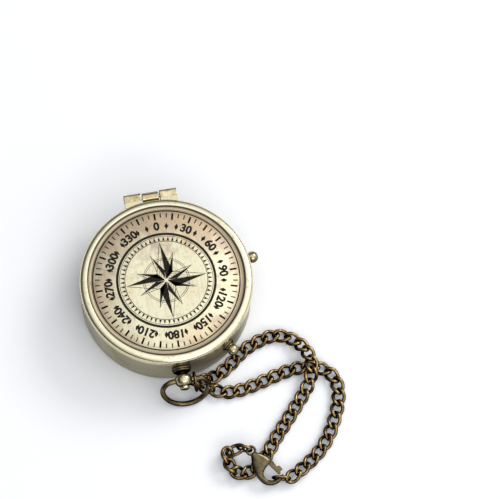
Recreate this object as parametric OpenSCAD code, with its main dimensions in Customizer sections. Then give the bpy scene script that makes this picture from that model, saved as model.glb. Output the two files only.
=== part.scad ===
// Pocket compass with a hinged lid, a pendant with bow, two side knobs, and a curb chain with a clasp.
// Millimetres. The origin is the centre of the case's underside, the hinge is at +Y, the pendant at -Y.

/* [Case] */
// Outer radius of the case
case_r = 37; // [36:0.5:40]
// Height of the case up to the seam under the lid
case_h = 20.2; // [19.6:0.1:21]
// Thickness of the spun case wall
case_wall = 1.3; // [1.1:0.1:1.4]
// Thickness of the case bottom
case_floor = 1.2; // [0.8:0.1:1.6]
// Radius of the rounded bottom edge
case_edge_r = 1.8; // [1.3:0.1:2.2]
// How far the case steps in at the neck that the lid fits over
neck_step = 1.4; // [1.3:0.1:1.5]
// Height of the neck above the seam
neck_h = 1.8; // [1.6:0.1:2]

/* [Lid] */
// How far the lid overhangs the case all round
lid_overhang = 0.5; // [0.3:0.1:0.7]
// Height of the lid from the seam to the crest of its bezel
lid_h = 5; // [4.8:0.1:5.6]
// Thickness of the lid's side
lid_wall = 1.4; // [1.2:0.1:1.5]
// Gap between the case and the closed lid
lid_gap = 0.2; // [0.15:0.05:0.3]
// Width of the bezel round the engraved plate
bezel_w = 5; // [4.5:0.5:7.5]
// Thickness of the engraved plate
plate_t = 0.8; // [0.6:0.1:1]
// Thickness of the liner inside the lid
liner_t = 0.5; // [0.4:0.1:0.6]

/* [Hinge] */
// Distance of the hinge pin outside the lid's side
hinge_out = 2.3; // [2.3:0.1:2.8]
// Radius of the hinge barrel
barrel_r = 2.1; // [1.9:0.05:2.1]
// Radius of the hinge pin
pin_r = 0.8; // [0.6:0.1:1]
// Width of the middle knuckle
knuckle_w = 7; // [5:0.5:8]
// Width of each outer knuckle
lug_w = 7.5; // [6:0.5:9]

/* [Dial and needle] */
// Depth of the dial's underside below the seam
dial_drop = 4.2; // [4:0.1:4.3]
// Thickness of the dial
dial_t = 0.6; // [0.4:0.1:0.8]
// Width of the ring that holds the glass in the neck
glass_ring_w = 1.2; // [1.1:0.1:1.4]
// Thickness of the glass
glass_t = 1.2; // [1:0.1:1.4]
// Gap between the needle's tips and the ring round the dial
needle_gap = 6.6; // [2.6:0.5:12.6]
// Greatest width of the needle
needle_w = 4.6; // [4:0.2:6]

/* [Knobs] */
// Depth of the pendant and the side knobs below the seam
knob_drop = 6.2; // [6:0.1:6.4]
// Radius of the pendant's crown
crown_r = 3.8; // [3.4:0.1:4]
// Travel of the crown when it is pushed in
crown_travel = 1; // [0.8:0.1:1]
// Radius of the ball on each side knob
side_ball_r = 2.5; // [2.2:0.1:2.8]
// Travel of the lock knob when it is pulled out
lock_travel = 3; // [2.5:0.1:3]
// Direction of the lock knob round the case, degrees
lock_angle = -54.3; // [-56:0.1:-50]
// Direction of the anchor stud round the case, degrees
stud_angle = 10.9; // [5:0.1:15]

/* [Bow] */
// Radius of the bow's wire
bow_wire_r = 1.1; // [0.9:0.1:1.2]
// Length of the bow from its pivot to its far side
bow_l = 14.45; // [14:0.05:15]
// Half the straight stretch of the bow in the crown
bow_straight = 4.9; // [4.8:0.1:5.2]
// Radius of the bow's shoulders
bow_side_r = 5.2; // [4.8:0.1:5.6]
// Angle of the resting bow below the horizontal, degrees
bow_droop = 62.4; // [60:0.1:64]
// How far the bow has slid sideways in the crown
bow_float = 0.6; // [0:0.1:0.8]

/* [Chain] */
// Radius of the chain's wire
link_wire_r = 0.72; // [0.6:0.02:0.72]
// Half the length of a link along its wire's middle
link_a = 3.65; // [3.6:0.05:3.7]
// Half the width of a link along its wire's middle
link_b = 2.45; // [2.4:0.05:2.5]
// Twist of a link's ends, degrees
link_twist = 48; // [46:1:50]
// Distance from one link to the next
link_pitch = 5.3; // [5.2:0.05:5.35]
// Radius of the wire of the connecting links and rings
join_wire_r = 0.6; // [0.5:0.02:0.62]

/* [Clasp] */
// Thickness of the clasp's body
clasp_t = 2.3; // [2:0.1:2.4]
// Tilt of the clasp as it leans on the chain, degrees
clasp_tilt = 11; // [10.5:0.1:11.5]
// Radius of the clasp's hook
hook_r = 6.2; // [6:0.1:6.3]
// Radius of the hole in the hook
hook_hole_r = 3.3; // [3:0.1:3.5]

/* [Hidden] */

brass = "#c9b98a";
old_brass = "#a8946a";
bronze = "#6b5434";
steel = "#9aa0a6";
eps = 0.01;
// Reach of a cut past the solid that it cuts
over = 2;
// Clearance of parts that slide or turn on each other
run = 0.05;
// Clearance of parts that are dropped in beside each other
fit = 0.1;

// Points of an arc about c, from angle a0 to a1
function arc(c, r, a0, a1, n = 6) =
    [for (i = [0:n]) c + r * [cos(a0 + (a1 - a0) * i / n), sin(a0 + (a1 - a0) * i / n)]];

// Turns what is modelled along +X out to the wall in the direction a
module at_wall(a) rotate([0, 0, a]) translate([0, 0, knob_z]) children();

// A solid of revolution about the X axis, from points of (distance, radius)
module turned(points) rotate([0, 90, 0]) rotate_extrude($fn = 64)
    polygon([for (p = points) [p[1], p[0]]]);

// A cylinder along +X
module rod(x0, x1, r) translate([x0, 0, 0]) rotate([0, 90, 0]) cylinder(r = r, h = x1 - x0, $fn = 48);

// A ring between two radii
module ring(z, h, r_out, r_in) translate([0, 0, z]) difference() {
    cylinder(r = r_out, h = h, $fn = 180);
    translate([0, 0, -over]) cylinder(r = r_in, h = h + 2 * over, $fn = 180);
}

// Places that several pieces share
cavity_r = case_r - case_wall;
neck_r = case_r - neck_step;
neck_in_r = cavity_r - neck_step + fit;
neck_top = case_h + neck_h;
lid_r = case_r + lid_overhang;
lid_in_r = lid_r - lid_wall;
lid_z = case_h + lid_gap;
lid_top = lid_z + lid_h;
plate_r = lid_r - bezel_w;
hinge_y = lid_r + hinge_out;
hinge_z = neck_top + fit;
knob_z = case_h - knob_drop;
dial_z = case_h - dial_drop;
dial_top = dial_z + dial_t;
dial_r = neck_in_r - glass_ring_w;

// The case: a spun bowl with a neck for the lid, and bores for the pendant and the side knobs
crown_rod_r = 1.8;
lock_rod_r = 1.3;
collar_spigot_r = 2.6;
bush_spigot_r = 2;
stud_shank_r = 1.2;
hinge_screw_r = 0.7;
hinge_screw_drop = [5.2, 2.5];
hinge_screw_z = [for (d = hinge_screw_drop) case_h - d];
latch_slot_w = 7.4;
latch_slot_drop = 2.8;
latch_slot_z = case_h - latch_slot_drop;
module case_bowl() color(brass) difference() {
    rotate_extrude($fn = 180) polygon(concat([[0, 0]],
        arc([case_r - case_edge_r, case_edge_r], case_edge_r, -90, 0),
        [[case_r, case_h], [neck_r, case_h], [neck_r, neck_top], [neck_in_r, neck_top],
         [neck_in_r, case_h - case_wall + (neck_r - neck_in_r) / 2],
         [cavity_r, case_h - case_wall - neck_step / 2], [cavity_r, case_floor], [0, case_floor]]));
    at_wall(-90) rod(cavity_r - over, case_r + over, collar_spigot_r);
    at_wall(lock_angle) rod(cavity_r - over, case_r + over, bush_spigot_r);
    at_wall(stud_angle) rod(cavity_r - over, case_r + over, stud_shank_r);
    for (z = hinge_screw_z) translate([0, 0, z]) rotate([0, 0, 90])
        rod(cavity_r - over, case_r + over, hinge_screw_r);
    translate([-latch_slot_w / 2, -neck_r - over / 8, latch_slot_z])
        cube([latch_slot_w, case_wall + over, case_h]);
}

// The hinge's middle knuckle, its leaf on the case wall and its pin and screws
leaf_t = 1.2;
leaf_l = 6.8;
leaf_seat = 0.02;
module case_hinge_knuckle() color(brass) difference() {
    translate([-knuckle_w / 2, 0, 0]) rotate([90, 0, 90]) linear_extrude(knuckle_w) union() {
        translate([hinge_y, hinge_z]) circle(r = barrel_r, $fn = 48);
        polygon([[case_r + leaf_seat, case_h - leaf_l], [case_r + leaf_t, case_h - leaf_l],
            [case_r + leaf_t, case_h - leaf_t], [hinge_y + leaf_t, hinge_z - barrel_r + leaf_t / 2],
            [hinge_y - leaf_t, hinge_z - barrel_r + leaf_t / 2],
            [case_r + leaf_seat, case_h - leaf_t / 4]]);
    }
    translate([0, hinge_y, hinge_z]) rod(-knuckle_w, knuckle_w, pin_r);
    for (z = hinge_screw_z) translate([0, 0, z]) rotate([0, 0, 90])
        rod(case_r - over, case_r + over, hinge_screw_r);
}
side_play = 0.6;
pin_half = knuckle_w / 2 + side_play + lug_w;
module hinge_pin() color(steel) translate([0, hinge_y, hinge_z]) rod(-pin_half, pin_half, pin_r);
screw_head_r = 1.2;
screw_head_t = 0.6;
module hinge_screws() color(steel) for (z = hinge_screw_z) translate([0, 0, z]) rotate([0, 0, 90]) union() {
    rod(cavity_r - screw_head_t, case_r + leaf_t + eps, hinge_screw_r);
    rod(case_r + leaf_t, case_r + leaf_t + screw_head_t, screw_head_r);
}

// The ring inside the case that carries the dial, with windows for the rods and the latch
seat_gap = 2.1;
seat_r = cavity_r - seat_gap;
seat_wall = 1.6;
latch_window = 17;
module seat_ring() color(old_brass) difference() {
    ring(case_floor, dial_z - case_floor, seat_r, seat_r - seat_wall);
    at_wall(lock_angle) rod(seat_r - seat_wall - over, seat_r + over, lock_rod_r + 2 * fit);
    rotate([0, 0, -90 - latch_window]) translate([0, 0, latch_low - over])
        rotate_extrude(angle = 2 * latch_window, $fn = 180)
        translate([seat_r - seat_wall - over, 0]) square([seat_wall + 2 * over, dial_z]);
}

// The dial: a plain degree ring and a star, cut shallow
dial_hole_r = 2.3;
cut_t = 0.15;
star_r_share = 0.62;
star_waist_share = 0.14;
tick_l = 2.2;
tick_w = 0.5;
ticks = 36;
module dial_marks(r) {
    for (i = [0:ticks - 1]) let (l = (i % 9 == 0 ? 2 : 1) * tick_l) rotate(360 * i / ticks)
        translate([r - l, -tick_w / 2]) square([l, tick_w]);
    polygon([for (i = [0:15]) let (
        q = i % 2 == 1 ? star_waist_share : i % 4 == 0 ? star_r_share : star_r_share / 1.5)
        r * q * [cos(22.5 * i), sin(22.5 * i)]]);
}
module dial_card() color("#e9e6dc") difference() {
    translate([0, 0, dial_z]) cylinder(r = dial_r, h = dial_t, $fn = 180);
    translate([0, 0, dial_z - over]) cylinder(r = dial_hole_r, h = 2 * over, $fn = 48);
    translate([0, 0, dial_top - cut_t]) linear_extrude(over) difference() {
        dial_marks(dial_r - seat_wall - tick_l / 2);
        circle(r = dial_hole_r + tick_l / 2, $fn = 48);
    }
}
glass_z = case_h + fit;
gasket_t = 0.3;
module chapter_ring() color(brass)
    ring(dial_top, glass_z - gasket_t - dial_top, dial_r, dial_r - seat_wall);
module glass_gasket() color("#30302c") ring(glass_z - gasket_t, gasket_t, dial_r, dial_r - seat_wall);
module glass_crystal() color("#dfe8ea", 0.35)
    translate([0, 0, glass_z]) cylinder(r = dial_r, h = glass_t, $fn = 180);
bezel_t = 0.6;
bezel_lap = 1.5;
module bezel_ring() color(brass) difference() {
    rotate_extrude($fn = 180) polygon([[dial_r - bezel_lap, glass_z + glass_t],
        [dial_r + run, glass_z + glass_t], [dial_r + run, glass_z - gasket_t],
        [neck_in_r - run, glass_z - gasket_t], [neck_in_r - run, glass_z + glass_t + bezel_t / 2],
        [neck_in_r - bezel_t / 2, glass_z + glass_t + bezel_t],
        [dial_r - bezel_lap, glass_z + glass_t + bezel_t]]);
    translate([-latch_slot_w / 2, -neck_r, latch_slot_z]) cube([latch_slot_w, neck_r - dial_r, case_h]);
}

// The post that the needle turns on
post_r = 0.9;
post_foot_r = 3;
post_foot_t = 1;
tip_up = 2.1;
tip_z = dial_top + tip_up;
tip_l = 1.6;
module pivot_post() color(steel) rotate_extrude($fn = 48) polygon([[0, case_floor], [post_foot_r, case_floor],
    [post_foot_r, case_floor + post_foot_t], [post_r, case_floor + post_foot_t], [post_r, tip_z - tip_l],
    [0, tip_z]]);

// The needle, its cap and its jewel
blade_t = 0.3;
hub_r = 2.6;
blade_up = 1.15;
hub_z = dial_top + blade_up;
hub_h = 1.75;
hub_top = hub_z + hub_h;
jewel_r = 1.3;
jewel_up = 0.45;
jewel_z = hub_z + jewel_up;
hub_bore_r = 1.2;
blade_eye_r = hub_r + 2 * blade_t;
needle_l = 2 * (dial_r - seat_wall - needle_gap);
eye_from = acos(needle_w / 2 / blade_eye_r) + 8;
module needle_blade() color("#2b3a55") translate([0, 0, hub_z]) linear_extrude(blade_t) difference() {
    polygon(concat([[0, needle_l / 2]], arc([0, 0], blade_eye_r, eye_from, -eye_from, 16),
        [[0, -needle_l / 2]], arc([0, 0], blade_eye_r, 180 + eye_from, 180 - eye_from, 16)));
    circle(r = hub_r - blade_t, $fn = 48);
}
module needle_hub() color(brass) rotate_extrude($fn = 64) polygon(concat(
    [[hub_bore_r, hub_z], [hub_r - blade_t, hub_z], [hub_r - blade_t, hub_z + blade_t],
     [hub_r, hub_z + blade_t], [hub_r, hub_top - blade_t * 2], [hub_r / 2, hub_top],
     [jewel_r / 2, hub_top], [jewel_r / 2, hub_top - blade_t], [jewel_r, hub_top - blade_t],
     [jewel_r, jewel_z], [hub_bore_r, jewel_z]]));
jewel_gap = 0.08;
module needle_jewel() color("#7a1f2b") rotate_extrude($fn = 48) polygon([[jewel_r, jewel_z],
    [jewel_r, hub_top - blade_t], [0, hub_top - blade_t], [0, tip_z + jewel_gap],
    [post_r * (tip_z + jewel_gap - jewel_z) / tip_l, jewel_z]]);

// The needle lock: a slide with a forked wedge lifts a sleeve up to the needle's cap
lifter_rise = 0.6;
flange_up = 0.6;
flange_z = knob_z + flange_up;
flange_t = 0.4;
flange_r = 3.2;
fork_w = 6.4;
fork_drop = 1;
fork_low = knob_z - fork_drop;
fork_run = 8;
sleeve_r = 2;
module needle_lifter() color(brass) rotate_extrude($fn = 48) polygon([[post_r + run, flange_z],
    [flange_r, flange_z], [flange_r, flange_z + flange_t], [sleeve_r, flange_z + flange_t],
    [sleeve_r, hub_z - lifter_rise - fit], [post_r + run, hub_z - lifter_rise - fit]]);
knob_gap = 0.6;
module lock_slide() color(steel) rotate([0, 0, lock_angle]) difference() {
    union() {
        translate([0, 0, knob_z]) rod(fork_run - eps, case_r + knob_gap + side_ball_r, lock_rod_r);
        translate([0, fork_w / 2, 0]) rotate([90, 0, 0]) linear_extrude(fork_w) polygon([
            [fork_run, fork_low], [fork_run, flange_z - run], [-flange_r, flange_z - run],
            [-flange_r - lock_travel, flange_z - run + lifter_rise],
            [-flange_r - lock_travel - fit, flange_z - run + lifter_rise],
            [-flange_r - lock_travel - fit, fork_low]]);
    }
    translate([-fork_run - over, -post_r - 2 * fit, fork_low - over])
        cube([fork_run + over + 2 * post_r + lock_travel / 8, 2 * post_r + 4 * fit, 3 * over]);
}
knob_neck_r = 1.9;
bush_t = 0.8;
bush_r = 3;
knob_face = case_r + bush_t + fit;
knob_ball_x = case_r + knob_gap + side_ball_r;
module side_knob(face) difference() {
    union() {
        translate([knob_ball_x, 0, 0]) sphere(r = side_ball_r, $fn = 64);
        rod(face, knob_ball_x, knob_neck_r);
    }
    rod(face - over, knob_ball_x, lock_rod_r);
}
module lock_knob() color(brass) at_wall(lock_angle) side_knob(knob_face);
module lock_bush() color(bronze) at_wall(lock_angle) turned([[cavity_r - fit, lock_rod_r + run],
    [cavity_r - fit, bush_spigot_r - eps], [case_r + eps, bush_spigot_r - eps], [case_r + eps, bush_r],
    [case_r + bush_t / 2, bush_r], [case_r + bush_t, bush_r - bush_t / 2],
    [case_r + bush_t, lock_rod_r + run]]);

// The stud that anchors the lock's detent spring, and the spring along the inside of the wall
spring_t = 0.5;
spring_h = 3.4;
spring_r = cavity_r - fit;
spring_past = 6;
nut_t = 0.9;
nut_x = cavity_r - spring_t - 2 * fit;
module anchor_stud() color(brass) at_wall(stud_angle) union() {
    translate([knob_ball_x, 0, 0]) sphere(r = side_ball_r, $fn = 64);
    rod(case_r + eps, knob_ball_x, knob_neck_r);
    rod(nut_x - nut_t, knob_ball_x, stud_shank_r - eps);
    rod(nut_x - nut_t, nut_x, stud_shank_r + nut_t / 2);
}
module detent_spring() color(steel) difference() {
    rotate([0, 0, lock_angle - spring_past]) translate([0, 0, knob_z - spring_h / 2])
        rotate_extrude(angle = stud_angle - lock_angle + 2 * spring_past, $fn = 180)
        translate([spring_r - spring_t, 0]) square([spring_t, spring_h]);
    at_wall(stud_angle) rod(cavity_r - over, case_r, stud_shank_r);
    at_wall(lock_angle) rod(cavity_r - over, case_r, lock_rod_r + fit);
}

// The latch: a leaf on a post, whose free end stands behind the crown's rod and under the lid's strike
latch_in = 1.05;
latch_r = cavity_r - latch_in;
latch_span = 60;
latch_drop = 4;
latch_low = knob_z - latch_drop;
latch_h = 7;
latch_t = 0.5;
latch_eye_r = 0.95;
latch_pin_r = 0.5;
latch_tab_w = 5;
nose_drop = 0.4;
latch_top = neck_top - nose_drop;
nose_t = 0.5;
strike_w = 0.35;
strike_t = 0.45;
strike_r = lid_in_r - strike_w;
module at_latch_post(z) rotate([0, 0, -90 - latch_span]) translate([latch_r, 0, z]) children();
module latch_post() color(steel) at_latch_post(case_floor) union() {
    cylinder(r = latch_eye_r, h = latch_low - case_floor - fit, $fn = 32);
    cylinder(r = latch_pin_r, h = latch_low - case_floor + latch_h / 2 + fit, $fn = 32);
}
module latch_leaf() color(steel) union() {
    difference() {
        union() {
            rotate([0, 0, -90 - latch_span]) translate([0, 0, latch_low])
                rotate_extrude(angle = latch_span + 4, $fn = 180)
                translate([latch_r - latch_t / 2, 0]) square([latch_t, latch_h / 2]);
            at_latch_post(latch_low) cylinder(r = latch_eye_r, h = latch_h / 2, $fn = 32);
        }
        at_latch_post(latch_low - over) cylinder(r = latch_pin_r + run, h = latch_h + over, $fn = 32);
    }
    translate([-latch_tab_w / 2, -latch_r - latch_t / 2, latch_low + latch_h / 4])
        cube([latch_tab_w, latch_t, latch_top - latch_low - latch_h / 4]);
    translate([-latch_tab_w / 2, -strike_r + run, latch_top - nose_t])
        cube([latch_tab_w, strike_r - latch_r, nose_t]);
}

// The pendant: a fixed collar, and the crown that is pushed in against the latch leaf
collar_l = 1.8;
bead_r = 4.2;
module pendant_collar() color(old_brass) at_wall(-90) turned(concat(
    [[cavity_r - fit, crown_rod_r + run], [cavity_r - fit, collar_spigot_r - eps],
     [case_r + eps, collar_spigot_r - eps]],
    arc([case_r + collar_l * 0.28, bead_r - collar_l * 0.28], collar_l * 0.28, 180, 0, 8),
    arc([case_r + collar_l * 0.78, bead_r - collar_l * 0.4], collar_l * 0.22, 180, 0, 8),
    [[case_r + collar_l, crown_rod_r + run]]));
crown_gap = crown_travel + fit;
crown_half = 2.6;
crown_x = case_r + collar_l + crown_gap + crown_half;
finial_r = 2.1;
finial_l = 1.6;
bow_fit = 0.08;
crown_rod_in = latch_r + latch_t / 2 + run;
module crown_knob() color(brass) at_wall(-90) difference() {
    union() {
        rod(crown_rod_in, crown_x, crown_rod_r);
        turned(concat([[crown_x - crown_half, 0]],
            [for (i = [-12:12]) let (t = 7.5 * i)
                [crown_x + crown_half * sin(t), crown_rod_r + (crown_r - crown_rod_r) * cos(t)]],
            arc([crown_x + crown_half + finial_l / 2, finial_r - finial_l / 2], finial_l / 2, 90, 0, 6),
            [[crown_x + crown_half + finial_l, 0]]));
    }
    translate([crown_x, 0, 0]) rotate([90, 0, 0])
        cylinder(r = bow_wire_r + bow_fit, h = 4 * crown_r, center = true, $fn = 48);
    turned([[cavity_r - clip_t - 2 * fit, clip_in_r], [cavity_r - clip_t - 2 * fit, crown_rod_r + over],
        [cavity_r - 2 * fit, crown_rod_r + over], [cavity_r - 2 * fit, clip_in_r]]);
}
clip_t = 0.4;
clip_in_r = 1.4;
clip_r = 3;
module crown_clip() color(steel) at_wall(-90) turned([[cavity_r - clip_t - 2 * fit, clip_in_r],
    [cavity_r - clip_t - 2 * fit, clip_r], [cavity_r - 2 * fit, clip_r], [cavity_r - 2 * fit, clip_in_r]]);

// The bow: an oval of wire whose straight stretch turns in the crown
bow_cut = bow_l - 2 * bow_side_r;
bow_c = (bow_straight * bow_straight + bow_side_r * bow_side_r - pow(bow_l - bow_side_r, 2)) / (2 * bow_cut);
bow_far_r = bow_l + bow_c;
bow_tip = atan2(-bow_side_r - bow_c, bow_straight);
// Each stretch is a hair thicker than the one before it, and laps over its end
bow_step = 0.02;
bow_lap = 1;
module torus_arc(x, y, r, a0, a1, wire) translate([x, y, 0]) rotate([0, 0, a0])
    rotate_extrude(angle = a1 - a0, $fn = 96) translate([r, 0]) circle(r = wire, $fn = 32);
module bow() color(bronze) translate([bow_float, -crown_x, knob_z]) rotate([bow_droop - 90, 0, 0])
    rotate([90, 0, 0]) union() {
        rod(-bow_straight, bow_straight, bow_wire_r);
        for (m = [0, 1]) mirror([m, 0, 0])
            torus_arc(bow_straight, -bow_side_r, bow_side_r, bow_tip, 90 + bow_lap, bow_wire_r + bow_step);
        torus_arc(0, bow_c, bow_far_r, 180 - bow_tip - bow_lap, 360 + bow_tip + bow_lap,
            bow_wire_r + 2 * bow_step);
    }

// The lid: a rim with a bright bezel, the engraved plate, the liner, and the hinge lugs
rim_lip = 1.1;
plate_sink = 0.6;
plate_z = lid_top - plate_sink - plate_t;
bevel_w = 1.4;
bezel_in_r = plate_r + bevel_w;
edge_w = 1.7;
bezel_out_r = lid_r - edge_w;
crest_h = 0.15;
groove_w = 0.4;
groove_d = 0.4;
rim_r = 1.2;
rim_drop = 0.35;
rim_cut = 0.3;
liner_gap = 0.8;
liner_z = plate_z - liner_gap;
flange_low = 1.8;
flange_high = 0.9;
flange_edge = 1.8;
lug_corner = 1.2;
notch_w = knuckle_w + 2 * side_play + 2 * fit;
module lid_ring_2d() polygon(concat(
    [[plate_r - rim_lip, liner_z], [plate_r - rim_lip, plate_z], [plate_r + run, plate_z],
     [plate_r + run, plate_z + plate_t]],
    [for (i = [0:8])
        [bezel_in_r + (bezel_out_r - bezel_in_r) * i / 8, lid_top - crest_h * pow(i / 4 - 1, 2)]],
    [[bezel_out_r + run, lid_top - crest_h - groove_d],
     [bezel_out_r + groove_w, lid_top - crest_h - groove_d]],
    arc([lid_r - rim_r, lid_top - rim_drop - rim_r], rim_r, 85, 0),
    [[lid_r, lid_z + rim_cut], [lid_r - rim_cut, lid_z], [lid_in_r, lid_z], [lid_in_r, liner_z]]));
module lid_rim() color(brass) union() {
    rotate_extrude($fn = 180) lid_ring_2d();
    translate([0, 0, lid_top - flange_low]) difference() {
        translate([-pin_half, 0, 0]) cube([2 * pin_half, hinge_y - flange_edge, flange_low - flange_high]);
        translate([0, 0, -over]) cylinder(r = lid_r - rim_r, h = lid_h, $fn = 180);
        translate([-notch_w / 2, lid_r - rim_r / 2, -over]) cube([notch_w, hinge_out, lid_h]);
    }
}
line_w = 0.35;
line_in = 0.7;
line_r = plate_r - line_in;
mark_in = 2;
module lid_plate() color(old_brass) difference() {
    translate([0, 0, plate_z]) cylinder(r = plate_r, h = plate_t, $fn = 180);
    translate([0, 0, plate_z + plate_t - cut_t]) linear_extrude(over) union() {
        difference() {
            circle(r = line_r + line_w / 2, $fn = 180);
            circle(r = line_r - line_w / 2, $fn = 180);
        }
        difference() {
            dial_marks(line_r - mark_in);
            circle(r = tick_l, $fn = 48);
        }
    }
}
module lid_liner() color(brass) translate([0, 0, liner_z - liner_t])
    cylinder(r = lid_in_r - fit, h = liner_t, $fn = 180);
module lid_hinge_lugs() color(brass) difference() {
    for (s = [0, 1]) mirror([s, 0, 0]) translate([knuckle_w / 2 + side_play, 0, 0]) rotate([90, 0, 90])
        linear_extrude(lug_w) polygon(concat([[hinge_y - 2 * barrel_r, lid_z]],
            arc([hinge_y + barrel_r - lug_corner, lid_z + lug_corner], lug_corner, -90, 0),
            arc([hinge_y + barrel_r - lug_corner, hinge_z + barrel_r - lug_corner], lug_corner, 0, 90),
            [[hinge_y - flange_edge + run, hinge_z + barrel_r],
             [hinge_y - flange_edge + run, lid_top - flange_low - run],
             [hinge_y - 2 * barrel_r, lid_top - flange_low - run]]));
    translate([0, hinge_y, hinge_z]) rod(-2 * pin_half, 2 * pin_half, pin_r + run);
    translate([0, 0, -eps]) cylinder(r = lid_r + eps, h = 2 * lid_top, $fn = 180);
}
module lid_strike() color(steel) rotate([0, 0, -90 - 4]) translate([0, 0, lid_z + run])
    rotate_extrude(angle = 8, $fn = 180) translate([strike_r, 0]) square([strike_w, strike_t]);

// The chain: curb links at even spacing along a curve, as two runs from the bow to the clasp.
// The routes are drawn for a bow that turns at route_home, and all that hangs on the bow moves with it.
route_home = [0, -42.5, 13.97];
module at_bow() translate([0, -crown_x, knob_z] - route_home) children();
front_route = [[12.2, -45.6, 2.9], [16.2, -47, 1.9], [19.5, -48, 1.7], [26, -47.2, 1.7], [33, -45.7, 1.7],
    [40, -43.8, 1.7], [46.5, -42.3, 1.7], [52.5, -41.8, 1.7], [58.5, -42.8, 1.7], [63.6, -45.8, 1.7],
    [66.2, -51, 1.7], [66, -57, 1.7], [64, -63, 1.7], [61, -69.5, 1.7], [57, -76, 1.7], [52.5, -81, 1.7],
    [47.7, -84.5, 1.7], [43.2, -87.7, 2.8], [37.2, -91, 3.4]];
inner_route = [[12, -40.7, 3.3], [16.2, -38.9, 1.9], [20.6, -36.4, 1.7], [24.6, -33.2, 1.7],
    [28.7, -29.9, 1.7], [33, -28, 1.7], [38.5, -26, 1.7], [44, -25.5, 1.7], [49.5, -27.6, 1.9],
    [53.6, -32, 3.4], [56, -37, 5.4], [56.8, -42.5, 5.6], [55.2, -48, 4], [51.8, -53, 2.2],
    [47.4, -58, 1.7], [43, -63, 1.7], [38.5, -68, 1.7], [34.4, -72.6, 1.7], [31, -77.2, 1.7],
    [27.5, -81.3, 1.7], [23.5, -83.8, 1.7], [20.6, -84.4, 1.9], [16.1, -85.4, 3.1], [12.5, -77.5, 4.2],
    [13.5, -73.9, 4.8]];
curve_steps = 12;
link_rings = 12;
link_sides = 6;
function unit(v) = v / norm(v);
function curve(p) = concat([for (i = [0:len(p) - 2], k = [0:curve_steps - 1]) let (
    a = p[max(i - 1, 0)], b = p[i], c = p[i + 1], d = p[min(i + 2, len(p) - 1)], t = k / curve_steps)
    (2 * b + (c - a) * t + (2 * a - 5 * b + 4 * c - d) * t * t + (3 * b - a - 3 * c + d) * t * t * t) / 2],
    [p[len(p) - 1]]);
function reach(c, i = 1, s = [0]) = i >= len(c) ? s
    : reach(c, i + 1, concat(s, [s[i - 1] + norm(c[i] - c[i - 1])]));
function joints(route) =
    let (c = curve(route), s = reach(c), all = s[len(s) - 1], last = round(all / link_pitch))
    [for (n = [0:last]) [for (k = [0:2]) lookup(all * n / last, [for (i = [0:len(c) - 1]) [s[i], c[i][k]]])]];
// The middle of a link's wire at angle t, in the link's own axes: an oval whose ends twist opposite ways
function wire_at(t, a, b, twist) =
    [a * cos(t), b * sin(t) * cos(twist * cos(t)), b * sin(t) * sin(twist * cos(t))];
function link_tube(f, a, b, twist, wire, rings) = [for (i = [0:rings - 1], j = [0:link_sides - 1]) let (
    t = 360 * i / rings, m = wire_at(t, a, b, twist),
    d = unit(wire_at(t + 1, a, b, twist) - wire_at(t - 1, a, b, twist)),
    n = unit(m - (m * d) * d), u = cross(d, n),
    q = m + wire * (cos(360 * j / link_sides) * n + sin(360 * j / link_sides) * u))
    f[0] + q[0] * f[1] + q[1] * f[2] + q[2] * f[3]];
function tube_faces(rings, shift) = [for (i = [0:rings - 1], j = [0:link_sides - 1], h = [0, 1]) let (
    i2 = (i + 1) % rings, j2 = (j + 1) % link_sides,
    p = shift + i * link_sides, q = shift + i2 * link_sides)
    h == 0 ? [p + j, q + j, q + j2] : [p + j, q + j2, p + j2]];
// Axes of a link: its middle, along it, and across it, rolled about its length
function axes(c, x, roll) = let (y = unit(cross([0, 0, 1], x)), z = cross(x, y))
    [c, x, cos(roll) * y + sin(roll) * z, cos(roll) * z - sin(roll) * y];
function between(p, q) = axes((p + q) / 2, unit(q - p), 0);
module links(frames, a, b, twist, wire, rings = link_rings) polyhedron(
    points = [for (f = frames) each link_tube(f, a, b, twist, wire, rings)],
    faces = [for (n = [0:len(frames) - 1]) each tube_faces(rings, n * rings * link_sides)]);
module curb(route, first, last) color(bronze) at_bow() let (p = joints(route))
    links([for (i = [first:last]) between(p[i], p[i + 1])], link_a, link_b, link_twist, link_wire_r);
module chain_front_run() curb(front_route, 0, 8);
module chain_right_bend() curb(front_route, 9, 12);
module chain_clasp_run() curb(front_route, 13, len(joints(front_route)) - 2);
module chain_inner_run() curb(inner_route, 0, 6);
module chain_crossing() curb(inner_route, 7, 12);
module chain_back_run() curb(inner_route, 13, 18);
module chain_tail() curb(inner_route, 19, len(joints(inner_route)) - 2);
// A plain link from its middle, heading, elevation and roll
function heading(c, h, e, roll) = axes(c, [cos(e) * cos(h), cos(e) * sin(h), sin(e)], roll);
join_a = 3.65;
join_b = 2.25;
ring_r = 3.9;
ring_rings = 32;
bow_ring_at = [4.9, -43.5, 12.25];
connector_at = [[5.9, -44, 7.1], [9.8, -45, 4.4], [6, -41.2, 7.2], [9.9, -40.7, 4.3]];
connector_angles = [[0, -57, 120], [-20, -30, 50], [30, -50, 135], [-5, -38, 45]];
module bow_ring() color(bronze) at_bow()
    links([heading(bow_ring_at, 90, 0, 90)], ring_r, ring_r, 0, join_wire_r, ring_rings);
module bow_connectors() color(bronze) at_bow() links([for (i = [0:3]) let (a = connector_angles[i])
    heading(connector_at[i], a[0], a[1], a[2])], join_a, join_b, 0, join_wire_r);

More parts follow.
